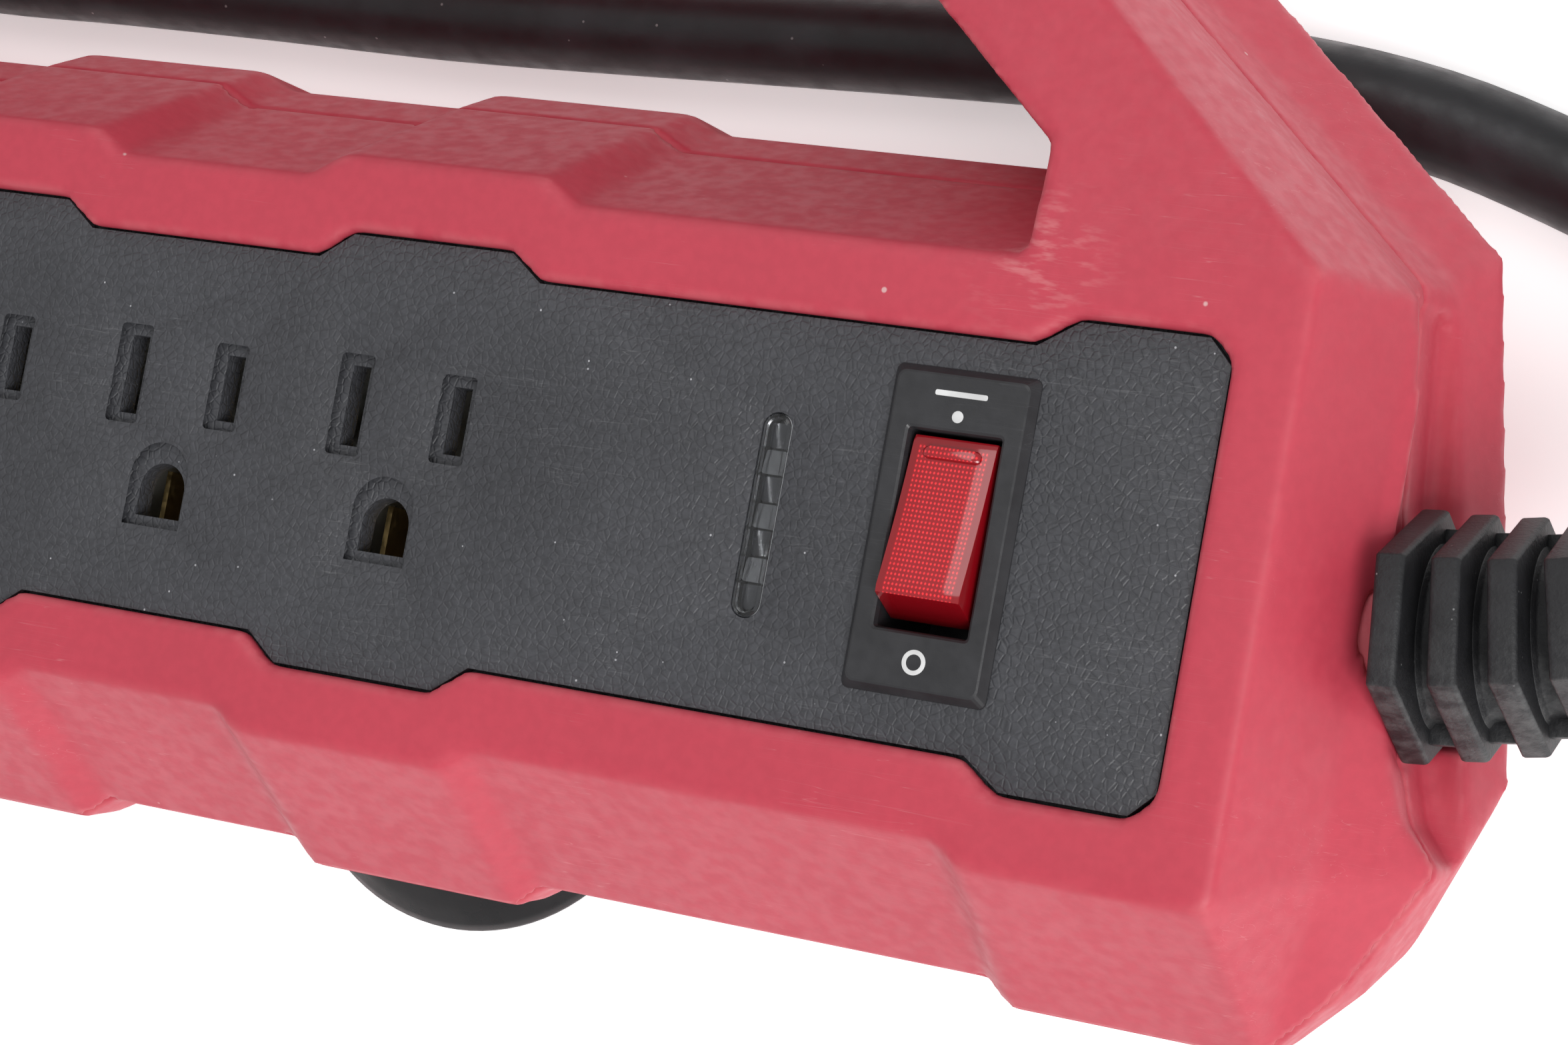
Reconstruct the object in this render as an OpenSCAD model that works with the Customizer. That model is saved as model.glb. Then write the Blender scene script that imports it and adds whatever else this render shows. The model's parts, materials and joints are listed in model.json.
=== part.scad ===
// Workshop power strip with a carry handle, a lit reset rocker and a thick mains lead.
// It lies on its back on four suction feet, with the outlets facing up.
// x runs along the strip towards the lead, y towards the handle, z up out of the face.
// The origin is under the middle of the strip, on the surface that it rests on.
// Shapes are drawn with y = 0 on the line of the outlet slots, then moved by place().

/* [Housing] */
// Length of the black face plate
plate_l = 273; // [271:0.5:275]
// Height of the face plate's surface above the table
face_z = 64; // [63:0.5:66]
// How far the red rim stands above the face plate
rim_h = 1.3; // [1:0.1:1.6]
// Depth of the seam between the two shells, below the face plate
seam_d = 21; // [20.5:0.5:21.5]
// Depth of the flat back, below the face plate
back_d = 46; // [45:0.5:47]
// Thickness of the shell's back wall
wall = 2.5; // [2.2:0.1:2.8]

/* [Handle] */
// Angle of the sloping legs' outward side from the strip's length
leg_turn = 48.8; // [48:0.2:49.6]
// Distance from the origin to the inside of a leg, square to the leg
leg_inner = 101.8; // [101:0.2:102.6]
// Height of the grip's inner side above the slot line
grip_y = 78; // [76:0.5:80]
// Slope of the handle's front face
handle_slope = 7.2; // [6.6:0.2:7.8]

/* [Outlets] */
// Number of outlets
outlets = 6; // [6:1:6]
// Distance from one outlet to the next
outlet_pitch = 28.5; // [28.3:0.1:28.6]
// Distance from the first outlet to the plate's cord end
outlet_margin = 89.5; // [89:0.1:90]
// Distance between the two blade slots
slot_gap = 12.7; // [12.7:0.1:12.7]
// Width of a blade slot
slot_w = 2.2; // [2:0.1:2.4]

/* [Switch and window] */
// Distance from the switch's middle to the plate's cord end
switch_margin = 26.4; // [26:0.2:26.8]
// Width of the rocker opening
rocker_w = 9.65; // [9.5:0.05:9.8]
// Length of the rocker opening
rocker_l = 19.65; // [19.5:0.05:19.8]
// Turn of the rocker between its two positions
rocker_turn = 22; // [20:1:24]
// Length of the indicator window
lens_l = 20.8; // [20:0.2:21.6]
// Width of the indicator window
lens_w = 3.1; // [2.9:0.1:3.3]

/* [Lead] */
// Diameter of the mains lead
cord_d = 11.7; // [11.5:0.1:11.9]
// Number of ribs on the strain relief
relief_ribs = 8; // [8:1:8]
// Distance between the ribs
rib_pitch = 5.45; // [5.4:0.05:5.5]
// Bend of the strain relief from one rib to the next
rib_bend = 2.4; // [2.3:0.1:2.5]

/* [Feet] */
// Radius of a suction foot
foot_r = 26.4; // [26:0.1:26.8]
// Distance between the two lower feet
foot_gap = 98; // [96:1:100]
// Distance between the two upper feet
foot_span = 207; // [204:1:210]

/* [Hidden] */

$fn = 48;
eps = 0.01;
y_mid = 23;
half_l = plate_l / 2;
far = 400;

red = [0.76, 0.2, 0.27];
black = [0.12, 0.12, 0.13];
charcoal = [0.25, 0.25, 0.27];
brass = [0.8, 0.62, 0.3];
steel = [0.7, 0.7, 0.72];

// --- helpers ---------------------------------------------------------------------------

module place() translate([0, -y_mid, 0]) children();

// A flat shape extruded between two depths below the face plate
module slab(d0, d1) translate([0, 0, face_z - d1]) linear_extrude(d1 - d0) children();

// A flat rectangle from corner to corner
module rect(x0, y0, x1, y1) translate([x0, y0]) square([x1 - x0, y1 - y0]);

// A round bar along x, starting at x0
module bar_x(x0, x1, y, z, r) translate([x0, y, z]) rotate([0, 90, 0]) cylinder(x1 - x0, r, r);

function reversed(points) = [for (i = [len(points) - 1:-1:0]) points[i]];
function flip_x(points) = [for (p = reversed(points)) [-p[0], p[1]]];

// A solid through a list of [z, outline] sections, each convex and with as many points
module loft(sections) {
    n = len(sections[0][1]);
    m = len(sections);
    points = [for (s = sections) for (p = s[1]) [p[0], p[1], s[0]]];
    side = [for (k = [0:m - 2]) for (i = [0:n - 1]) let (j = (i + 1) % n)
        each [[k * n + i, k * n + n + j, k * n + j], [k * n + i, k * n + n + i, k * n + n + j]]];
    low = [for (i = [0:n - 1]) i];
    high = [for (i = [n - 1:-1:0]) (m - 1) * n + i];
    polyhedron(points, concat([high], [low], side), convexity = 12);
}

// --- outlines of the housing -----------------------------------------------------------

first_outlet_x = half_l - outlet_margin;
function outlet_x(i) = first_outlet_x - i * outlet_pitch;
tab_xs = [for (i = [outlets - 2:-2:0]) outlet_x(i)];

leg_cos = cos(leg_turn);
leg_sin = sin(leg_turn);
function leg_x(reach, y) = (reach - leg_sin * y) / leg_cos;
function grip_top(reach) = grip_y + reach - leg_inner;
function grip_corner(reach) = [leg_x(reach, grip_top(reach)), grip_top(reach)];

end_crown = half_l - 18.5;

// Levels of the housing: depth, [low edge, tab edge] of the bottom, the corner points of
// the end from the bottom up, measured from the plate's end, and the handle's reach
levels = [
    [-rim_h, [-33.4, -35.8], [[6.9, -35.8], [7.2, -35.2], [7.3, -34.8], [7.3, 25.6]], 114],
    [12, [-41.4, -43.6], [[7.8, -43.6], [13.5, -31.2], [13.5, -30.8], [13.5, 26]], 118.3],
    [seam_d, [-46.8, -49.4], [[8.1, -49.4], [14.5, -42.3], [22.2, -28.9], [11.1, 29]], 119.2],
    [28, [-46, -48.2], [[8.5, -48.2], [15.5, -41], [23, -26], [12.5, 30]], 120.4],
    [35, [-43.5, -45], [[9.5, -45], [17.5, -36], [24.5, -18], [15, 35]], 126.2],
    [back_d, [-36, -37], [[5.5, -37], [11.5, -30], [16.5, -16], [7.5, 34]], 120.5]];

function end_chain(level) = concat(
    [for (p = level[2]) [half_l + p[0], p[1]]], [grip_corner(level[3])]);
function outline(level) = concat(end_chain(level), flip_x(end_chain(level)));

// Levels of the hand opening, whose lower side is the body's top: depth, low edge, tab edge
openings = [
    [-rim_h, 23.7, 26.3], [14.5, 31.3, 33.9], [28.4, 38.2, 40.2], [41, 38.2, 40.2],
    [back_d, 35, 37]];
hole_side = half_l - 22.5;
function hole_x(y) = min(hole_side, leg_x(leg_inner, y));
bend_y = (leg_inner - leg_cos * hole_side) / leg_sin;
function hole_end(level) = let (y = max(level[2] + 0.5, bend_y))
    [[hole_x(level[2]), level[2]], [hole_x(y), y], grip_corner(leg_inner)];
function hole(level) = concat(hole_end(level), flip_x(hole_end(level)));

// The recess between two tabs, from low at its floor to past the tabs' edge
past = 1.5;
function recess(a, b, low, high, crown, foot) = let (slope = (foot - crown) / abs(high - low),
    outer = high + past * sign(high - low), k = past * slope)
    [[a + foot, low], [a + crown - k, outer], [b - crown + k, outer], [b - foot, low]];

// Cuts through every level, with the first and last ones carried on past the faces
over = 4;
module cut_through(list, sections) loft([for (i = [len(list):-1:-1])
    [face_z - (i < 0 ? list[0][0] - over : i == len(list) ? list[i - 1][0] + over : list[i][0]),
     sections[max(0, min(len(list) - 1, i))]]]);

module bottom_recesses() for (i = [0:len(tab_xs)]) cut_through(levels, [for (level = levels)
    recess(i == 0 ? -end_crown - 12.8 : tab_xs[i - 1],
        i == len(tab_xs) ? end_crown + 12.8 : tab_xs[i], level[1][0], level[1][1], 12.8, 15.8)]);

module top_recesses() for (i = [0:len(tab_xs)]) cut_through(openings, [for (level = openings)
    let (low = level[1], high = level[2],
        shape = recess(i == 0 ? -far : tab_xs[i - 1], i == len(tab_xs) ? far : tab_xs[i],
            low, high, 12.5, 16.5))
    [i == 0 ? [-hole_x(low), low] : shape[0], i == len(tab_xs) ? [hole_x(low), low] : shape[3],
     i == len(tab_xs) ? [hole_x(high + past), high + past] : shape[2],
     i == 0 ? [-hole_x(high + past), high + past] : shape[1]]]);

module housing(first, last) difference() {
    loft([for (i = [last:-1:first]) [face_z - levels[i][0], outline(levels[i])]]);
    cut_through(openings, [for (level = openings) hole(level)]);
    bottom_recesses();
    top_recesses();
}

// A plate edge with a tab at every second outlet, from left to right
function tabbed(low, high, crown, foot) = [for (c = tab_xs) each
    [[c - foot, low], [c - crown, high], [c + crown, high], [c + foot, low]]];

// Outline of the face plate, grown by a gap
plate_top = [15.4, 18.2];
plate_bottom = [-25.2, -28.15];
function plate_end(g) = [[half_l + g - 2.5, plate_bottom[1] - g],
    [half_l + g, plate_bottom[1] - g + 2.5], [half_l + g, plate_top[1] + g - 2.5],
    [half_l + g - 2.5, plate_top[1] + g]];
function plate_half(low, high, g) = concat(
    [[-half_l + 15.8 + g / 2, high], [-half_l + 20 + g / 2, low]],
    tabbed(low, high, 9.75 + g / 2, 13.6 + g / 2),
    [[half_l - 20 - g / 2, low], [half_l - 15.8 - g / 2, high]]);
module plate_shape(g) polygon(concat(
    plate_half(plate_bottom[0] - g, plate_bottom[1] - g, g), plate_end(g),
    reversed(plate_half(plate_top[0] + g, plate_top[1] + g, g)), flip_x(plate_end(g))));

// A band along the handle between two reaches, from y0 up
module bow(inner, outer, y0) polygon(concat(
    [[leg_x(outer, y0), y0], grip_corner(outer)],
    flip_x([[leg_x(outer, y0), y0], grip_corner(outer)]),
    [[-leg_x(inner, y0), y0]], flip_x([grip_corner(inner)]), [grip_corner(inner)],
    [[leg_x(inner, y0), y0]]));

// --- shells ----------------------------------------------------------------------------

front_wall_d = 1.5;
relief_y = -5.7;
relief_x = half_l + 15.8;
relief_core = 8.5;
relief_z = face_z - seam_d;
channel_d = [14, 28];
channel_floor = [[11.3, 27], [13.2, 4.5], [17.3, -18.5], [18.9, -23.7], [21.9, -27.4]];

// The recess down the end, on each side of the seam
module end_channel() slab(channel_d[0], channel_d[1]) for (side = [0, 1]) mirror([side, 0])
    polygon(concat([for (p = channel_floor) [half_l + p[0], p[1]]],
        [[half_l + 40, -27.4], [half_l + 40, 27]]));

boss_r = 3.4;
screw_r = 1.5;
small_screw_r = 1.2;
screw_spots = concat(
    [for (sx = [-1, 1]) for (y = [-28.5, 18.5]) [sx * half_l, y]],
    [[-38, -29.4], [19, -29.4]],
    [for (sx = [-1, 1]) [sx * leg_x(110.5, 62), 62]], [[0, grip_y + 8]]);
cup_spots = [[28, -29.5], [28 - foot_gap, -29.5], [95, 16.6], [95 - foot_span, 16.6]];
board_x = [70, 101];
board_y = [-24, 10];
board_d = 24;
board_spots = [for (x = [board_x[0] + 3, board_x[1] - 3]) for (y = [board_y[0] + 3, board_y[1] - 3])
    [x, y]];
clamp_x = half_l - 2.6;
clamp_spots = [[clamp_x, relief_y - 14.5], [clamp_x, relief_y + 14.5]];

module at_spots(spots) for (p = spots) translate(p) children();

// Passage for the strain relief through the end wall, with room for its ribs
module relief_passage() {
    bar_x(half_l - 1, half_l + 40, relief_y, relief_z, relief_core + 0.1);
    translate([half_l + 2.5, relief_y - 13, relief_z - 13]) cube([5, 26, 26]);
    along_relief(0) translate([0, 0, -0.2]) linear_extrude(30) rib_shape(1.08);
}

module front_shell() color(red) place() difference() {
    union() {
        difference() {
            housing(0, 2);
            slab(front_wall_d, seam_d + eps) rect(-half_l - 2.5, -31, half_l + 2.5, 21);
            slab(9, seam_d + eps) bow(leg_inner + 2.5, 114, 33);
        }
        slab(front_wall_d - eps, seam_d) at_spots([for (i = [0:5]) screw_spots[i]]) circle(boss_r);
        slab(8, seam_d) at_spots([for (i = [6:8]) screw_spots[i]]) circle(boss_r);
    }
    translate([-far / 2, 26, face_z + rim_h]) rotate([-handle_slope, 0, 0]) cube([far, 200, 40]);
    slab(-rim_h - 1, front_wall_d + 1) plate_shape(0.25);
    slab(front_wall_d, 3.9) plate_shape(2.3);
    slab(12, seam_d + 1) at_spots(screw_spots) circle(screw_r + 0.05);
    end_channel();
    relief_passage();
}

module rear_shell() color(red) place() difference() {
    union() {
        difference() {
            housing(2, 5);
            slab(seam_d - eps, 33) rect(-half_l - 2.5, -41, half_l + 2.5, 32);
            slab(33 - eps, back_d - wall) rect(-half_l - 2.5, -33, half_l + 2.5, 31);
            slab(seam_d - eps, 42) bow(leg_inner + 2.5, 116.5, 40);
        }
        slab(seam_d, back_d - 1) at_spots(screw_spots) circle(boss_r + 1);
        slab(board_d + 1.6, back_d - 1) at_spots(board_spots) circle(2.6);
        slab(seam_d + 5, back_d - 1) at_spots(clamp_spots) circle(3);
    }
    slab(seam_d - 1, back_d + 1) at_spots(screw_spots) circle(1.8);
    slab(back_d - 5, back_d + 1) at_spots(screw_spots) circle(3.5);
    slab(back_d - 4, back_d + 1) at_spots(cup_spots) circle(4.1);
    slab(38, back_d - wall) at_spots(cup_spots) circle(6.5);
    slab(board_d, back_d - 4) at_spots(board_spots) circle(small_screw_r + 0.05);
    slab(seam_d, back_d - 4) at_spots(clamp_spots) circle(small_screw_r + 0.05);
    end_channel();
    relief_passage();
}

// --- face plate, window and switch -----------------------------------------------------

switch_x = half_l - switch_margin;
switch_y = -4.25;
ground_r = 2.85;
ground_y = -11.9;
ground_flat = -15;
lens_x = half_l - 46;
lens_y = -5;

module pill(x, y, l, w) {
    translate([x - w / 2, y - (l - w) / 2]) square([w, l - w]);
    for (s = [-1, 1]) translate([x, y + s * (l - w) / 2]) circle(w / 2);
}

module ground_hole() intersection() {
    union() {
        translate([0, ground_y]) circle(ground_r);
        rect(-ground_r, ground_flat, ground_r, ground_y);
    }
    rect(-ground_r, ground_flat, ground_r, 0);
}

module face_plate() color(charcoal) place() difference() {
    union() {
        slab(0, front_wall_d + 0.2) plate_shape(0);
        slab(front_wall_d + 0.2, 3.7) plate_shape(2);
    }
    for (i = [0:outlets - 1]) translate([outlet_x(i), 0, 0]) slab(-1, 5) {
        rect(-slot_gap / 2 - slot_w / 2, -4.2, -slot_gap / 2 + slot_w / 2, 4.4);
        rect(slot_gap / 2 - slot_w / 2, -3.6, slot_gap / 2 + slot_w / 2, 3.6);
        ground_hole();
    }
    slab(-1, 5) pill(lens_x, lens_y, lens_l + 0.2, lens_w + 0.2);
    slab(-1, 5) rect(switch_x - 6.9, switch_y - 14.9, switch_x + 6.9, switch_y + 14.9);
}

module indicator_lens() color([0.85, 0.87, 0.88, 0.5]) place() {
    slab(-0.1, 3.8) pill(lens_x, lens_y, lens_l, lens_w);
    slab(3.8, 5) pill(lens_x, lens_y, lens_l + 3, lens_w + 3);
}

module indicator_led() color([0.9, 0.95, 0.9]) place() {
    slab(6, 11) translate([lens_x, lens_y]) circle(1.5);
    slab(11, 12.5) translate([lens_x, lens_y]) circle(1.9);
    for (s = [-1, 1]) slab(12, board_d) translate([lens_x + s * 0.9, lens_y]) circle(0.3);
}

pivot_y = switch_y;
pivot_z = face_z - 5;
pin_r = 1.5;
bezel = [15.6, 32.7, 1.2];

module switch_housing() color(black) place() difference() {
    union() {
        slab(-bezel[2], 0) translate([switch_x, switch_y]) square([bezel[0], bezel[1]], center = true);
        slab(0, 20) translate([switch_x, switch_y]) square([13.6, 29.6], center = true);
    }
    slab(-3, 15) translate([switch_x, switch_y]) square([rocker_w, rocker_l], center = true);
    bar_x(switch_x - 6, switch_x + 6, pivot_y, pivot_z, pin_r + 0.05);
    for (s = [-1:1]) slab(14, 21) translate([switch_x, switch_y + s * 7]) square([5, 0.8], center = true);
}

// Half of the rocker's side profile about its pivot, at mid travel
rocker_half = [[8.2, 7.3], [9.4, 1.5], [8, -3], [3, -6]];
rocker_gap = 0.3;

module rocker_frame() translate([switch_x, pivot_y, pivot_z]) rotate([-rocker_turn / 2, 0, 0])
    children();

module rocker() color([0.8, 0.08, 0.1, 0.8]) place() rocker_frame() difference() {
    union() {
        translate([-rocker_w / 2 + rocker_gap, 0, 0]) rotate([90, 0, 90])
            linear_extrude(rocker_w - 2 * rocker_gap) polygon(concat(rocker_half, flip_x(rocker_half)));
        translate([-5.9, 0, 0]) rotate([0, 90, 0]) cylinder(11.8, pin_r, pin_r);
    }
    translate([-3, -6.4, -7]) cube([6, 12.8, 5]);
    translate([-3, -5, -2.1]) cube([6, 10, 7]);
}

module rocker_lamp() color([1, 0.5, 0.3]) place() rocker_frame()
    translate([-2.8, 0, 1.6]) rotate([0, 90, 0]) cylinder(5.6, 1.6, 1.6);

module switch_contact() color(brass) place()
    slab(13.2, 14) translate([switch_x, switch_y]) square([5, 15.6], center = true);

module switch_terminals() color(brass) place()
    for (s = [-1:1]) slab(14, 27) translate([switch_x, switch_y + s * 7]) square([5, 0.8], center = true);

// --- contacts --------------------------------------------------------------------------

tray_x = [outlet_x(outlets - 1) - 15, first_outlet_x + 15];
leaf = 0.6;
strip_t = 0.8;
strip_ys = [7.1, -7.4, -18.2];
strip_end = tray_x[1] + 3;
strip_z = face_z - 14.3;

module contact_tray() color([0.85, 0.85, 0.82]) place() difference() {
    slab(3.8, 18) rect(tray_x[0], -21, tray_x[1], 12);
    slab(3, 16.5) for (i = [0:outlets - 1])
        rect(outlet_x(i) - 13.2, -19.5, outlet_x(i) + 13.2, 10.5);
    slab(12, 16.5) for (y = strip_ys) rect(tray_x[0] + 1, y - 0.2, tray_x[1] + 1, y + strip_t + 0.2);
}

// A strip with a pair of spring leaves at each outlet
module contact_bar(strip_y, at_x, y0, y1, gap) {
    slab(12.2, 16.4) rect(tray_x[0] + 1.2, strip_y, strip_end, strip_y + strip_t);
    for (i = [0:outlets - 1]) translate([outlet_x(i) + at_x, 0, 0]) for (s = [-1, 1])
        slab(5, 16.4) translate([s * (gap + leaf) / 2, (y0 + y1) / 2])
            square([leaf, y1 - y0], center = true);
}

module hot_bar() color(brass) place() contact_bar(strip_ys[0], slot_gap / 2, -3.4, 7.5, 1);
module neutral_bar() color(brass) place() contact_bar(strip_ys[1], -slot_gap / 2, -7, 4, 1);
module ground_bar() color(brass) place() contact_bar(strip_ys[2], 0, -18, -9.6, 3.6);

// --- surge protection ------------------------------------------------------------------

module surge_board() color([0.1, 0.4, 0.2]) place() difference() {
    slab(board_d, board_d + 1.6) rect(board_x[0], board_y[0], board_x[1], board_y[1]);
    slab(board_d - 1, board_d + 3) at_spots(board_spots) circle(1.6);
}

module board_screws() color(steel) place() at_spots(board_spots) {
    slab(board_d, board_d + 9) circle(small_screw_r);
    slab(board_d - 1.6, board_d) circle(2.6);
}

module varistors() color([0.15, 0.3, 0.65]) place() for (i = [0:2])
    bar_x(board_x[0] + 1 + i * 6, board_x[0] + 5 + i * 6, -10.5, face_z - board_d + 6.5, 6.5);

module thermal_fuse() color([0.85, 0.85, 0.8]) place()
    bar_x(board_x[0] + 7, board_x[0] + 19, -21, face_z - board_d + 2, 2);

module filter_capacitor() color([0.8, 0.7, 0.2]) place()
    slab(11, board_d) rect(board_x[0] + 7, -0.5, board_x[0] + 19, 6.5);

// --- strain relief, clamp and inner leads ----------------------------------------------

// Half sizes of a rib, which is a six-sided plate with flat front and rear sides
rib_h = 12.6;
rib_w = 15;
first_lean = 5.2;
taper = 0.965;
tip_len = 6;

module rib_shape(k) polygon([for (p = [[1, 0], [0.5, 1], [-0.5, 1], [-1, 0], [-0.5, -1], [0.5, -1]])
    k * [rib_h * p[0], rib_w * p[1]]]);

// Start of each rib along the bent centre line
function lean(i) = first_lean + rib_bend * i;
function rib_at(i) = i == 0 ? [relief_x, relief_y]
    : rib_at(i - 1) + rib_pitch * [cos(lean(i - 0.5)), sin(lean(i - 0.5))];

module along_relief(i) translate([rib_at(i)[0], rib_at(i)[1], relief_z])
    rotate([0, 0, lean(i)]) rotate([90, 0, 90]) children();

module strain_relief() color(black) place() {
    bar_x(half_l + 1, relief_x + 1, relief_y, relief_z, relief_core);
    translate([half_l + 2.7, relief_y - 12, relief_z - 12]) cube([4.6, 24, 24]);
    for (i = [0:relief_ribs - 1]) along_relief(i) {
        linear_extrude(2.9) rib_shape(pow(taper, i));
        cylinder(rib_pitch + 0.3, 8.6 - 0.22 * i, 8.6 - 0.22 * i);
    }
    along_relief(relief_ribs) cylinder(tip_len, 6.9, 6.7);
}

module cord_clamp() color(black) place() difference() {
    slab(seam_d - 9, seam_d + 5) translate([clamp_x, relief_y]) square([6, 36], center = true);
    bar_x(clamp_x - 4, clamp_x + 4, relief_y, relief_z, cord_d / 2 + 0.1);
    slab(seam_d - 10, seam_d + 6) at_spots(clamp_spots) circle(1.6);
    slab(0, seam_d - 3) for (s = [-1, 1]) translate([clamp_x, relief_y + s * 15])
        square([7, 9], center = true);
}

module clamp_screws() color(steel) place() at_spots(clamp_spots) {
    slab(seam_d - 3, seam_d + 14) circle(small_screw_r);
    slab(seam_d - 5, seam_d - 3) circle(2.8);
}

lead_r = 1.6;
jacket_x = half_l - 10.5;
hot_start = [jacket_x, relief_y + 2.6, relief_z + 1.5];
neutral_start = [jacket_x, relief_y - 2.6, relief_z + 1.5];
ground_start = [jacket_x, relief_y, relief_z - 3];
lead_drop_x = strip_end + 2.8;

// A wire through a list of points, with round corners
module wire(points) for (i = [1:len(points) - 1]) {
    run = points[i] - points[i - 1];
    translate(points[i - 1]) rotate([0, acos(run[2] / norm(run)), atan2(run[1], run[0])])
        cylinder(norm(run), lead_r, lead_r);
    if (i < len(points) - 1) translate(points[i]) sphere(lead_r);
}

// The last stretch of a lead, up to the end of a contact strip
function to_strip(i, y, z) = [[lead_drop_x, y, z], [lead_drop_x, y, strip_z],
    [lead_drop_x, strip_ys[i] + strip_t / 2, strip_z],
    [strip_end + 0.05, strip_ys[i] + strip_t / 2, strip_z]];

module cord_jacket() color(black) place()
    bar_x(jacket_x, half_l + 0.9, relief_y, relief_z, cord_d / 2);

module hot_lead() color(black) place() wire([hot_start, hot_start - [7, 0, 0],
    [jacket_x - 7, hot_start[1], 40], [jacket_x - 7, switch_y + 7, 40],
    [switch_x + 2.55, switch_y + 7, 40]]);

module switched_lead() color(black) place() wire(concat([[switch_x - 2.55, switch_y, relief_z - 3],
    [switch_x - 6, switch_y, relief_z - 3], [switch_x - 6, 17.5, relief_z - 3]],
    to_strip(0, 17.5, relief_z - 3)));

module neutral_lead() color("white") place() wire(concat([neutral_start, neutral_start - [5, 0, 0],
    [jacket_x - 5, neutral_start[1], 33]], to_strip(1, neutral_start[1], 33)));

module ground_lead() color("green") place() wire(concat([ground_start, ground_start - [3, 0, 0],
    [jacket_x - 3, ground_start[1], 28], [jacket_x - 3, -14, 28]], to_strip(2, -14, 28)));

// --- screws and feet -------------------------------------------------------------------

module shell_screws() color(steel) place() at_spots(screw_spots) {
    slab(13, back_d - 5) circle(screw_r);
    slab(back_d - 5, back_d - 2.6) circle(3.1);
}

foot_profile = [[foot_r - 1.6, 0], [foot_r, 0], [foot_r, 1.1], [foot_r - 2.6, 3.4],
    [foot_r - 9, 7.2], [10.5, 11], [8, 15], [7.6, face_z - back_d], [4, face_z - back_d],
    [4, face_z - back_d + wall], [6, face_z - back_d + wall], [5.2, face_z - back_d + wall + 3],
    [0, face_z - back_d + wall + 3], [0, 8], [9, 6.6], [foot_r - 7, 3.4]];

module suction_cup(i) color(black) place() translate(cup_spots[i]) rotate_extrude($fn = 96)
    polygon(foot_profile);
module suction_cup_1() suction_cup(0);
module suction_cup_2() suction_cup(1);
module suction_cup_3() suction_cup(2);
module suction_cup_4() suction_cup(3);

// --- mains lead ------------------------------------------------------------------------

cord_z = cord_d / 2;
relief_tip = rib_at(relief_ribs) + tip_len * [cos(lean(relief_ribs)), sin(lean(relief_ribs))];

// Points along the lead after the strain relief's tip: down to the table, round and back
// past the strip's end, under the handle's far leg and on to the coil
route = [
    [213, -6, 42], [224.5, 10, 38.5], [229, 30, 32], [233, 49, 24.5], [243.5, 66, 17],
    [260, 77, 11], [279, 80.5, 7.5], [298, 76.5, 6], [314, 66, 5.85], [325, 49.5, 5.85],
    [329, 30, 5.85], [325, 11, 5.85], [314, -5, 5.85], [298, -16, 5.85], [279, -19.5, 5.85],
    [260, -16, 5.85], [237, -7, 5.85], [214, 1.5, 5.85], [190, 11, 5.85], [170, 18.5, 5.85],
    [151, 25.6, 5.85], [135, 30.3, 5.85], [118, 32.8, 5.85], [98, 33.7, 5.85],
    [76, 33.6, 5.85], [54, 33.2, 5.85], [31, 32.7, 5.85], [8, 32.4, 5.85], [-18, 32.8, 5.85],
    [-41, 33, 5.85], [-64, 33, 5.85], [-90, 34.5, 5.85], [-115, 38, 5.85], [-140, 42.8, 5.85],
    [-165, 48, 6], [-185, 52, 6.4], [-199, 54.3, 6.6]];
lead_line = concat([[relief_tip[0], relief_tip[1] - y_mid, relief_z]],
    [for (p = route) [p[0], p[1], p[2] - 5.85 + cord_z]]);

// The coil: two turns side by side and half a turn on top of them
coil_mid = [-235, 0];
coil_r = 50;
coil_lift = 1;
coil_in = coil_r - cord_d;
coil_out = coil_r + cord_d;
coil_h = 2 * cord_d;

// The lead leaves the coil's top beside the strip's end, crosses over itself and bends round
// to the plug, which lies behind the handle
tail = [[-191.7, -25, 18.5], [-183.5, -9.5, 19.3], [-177.5, 7, 19.5], [-174.5, 25, 19],
    [-174, 45, 18.6], [-170.5, 62, 17.6], [-162, 77, 15.6], [-149, 88.5, 13.8],
    [-134, 95.5, 13], [-118, 98, 13]];
plug_at = tail[len(tail) - 1];

// Smooth curve through the points, two steps to each stretch
function pick(list, i) = list[max(0, min(len(list) - 1, i))];
function curve(list, i, t) = let (a = pick(list, i - 1), b = pick(list, i), c = pick(list, i + 1),
    d = pick(list, i + 2)) 0.5 * (2 * b + (c - a) * t + (2 * a - 5 * b + 4 * c - d) * t * t
    + (3 * b - a - 3 * c + d) * t * t * t);
function smooth(list, steps) = concat([for (i = [0:len(list) - 2]) for (k = [0:steps - 1])
    curve(list, i, k / steps)], [list[len(list) - 1]]);
function unit(v) = v / norm(v);

// A round tube along a smooth line
module tube(line, r, sides) {
    n = len(line);
    rings = [for (i = [0:n - 1]) let (
        ahead = unit(pick(line, i + 1) - pick(line, i - 1)),
        across = unit(cross(ahead, [0, 0, 1])), up = cross(across, ahead))
        for (k = [0:sides - 1]) let (a = 360 * (k + 0.5) / sides)
            line[i] + r * (cos(a) * across + sin(a) * up)];
    side = [for (i = [0:n - 2]) for (k = [0:sides - 1]) let (j = (k + 1) % sides)
        each [[i * sides + k, i * sides + j, (i + 1) * sides + j],
              [i * sides + k, (i + 1) * sides + j, (i + 1) * sides + k]]];
    polyhedron(rings, concat([[for (k = [sides - 1:-1:0]) k]],
        [[for (k = [0:sides - 1]) (n - 1) * sides + k]], side), convexity = 8);
}

module cord() color(black) tube(smooth(lead_line, 2), cord_d / 2 / cos(18), 10);
module cord_tail() color(black) tube(smooth(tail, 2), cord_d / 2 / cos(18), 10);

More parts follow.
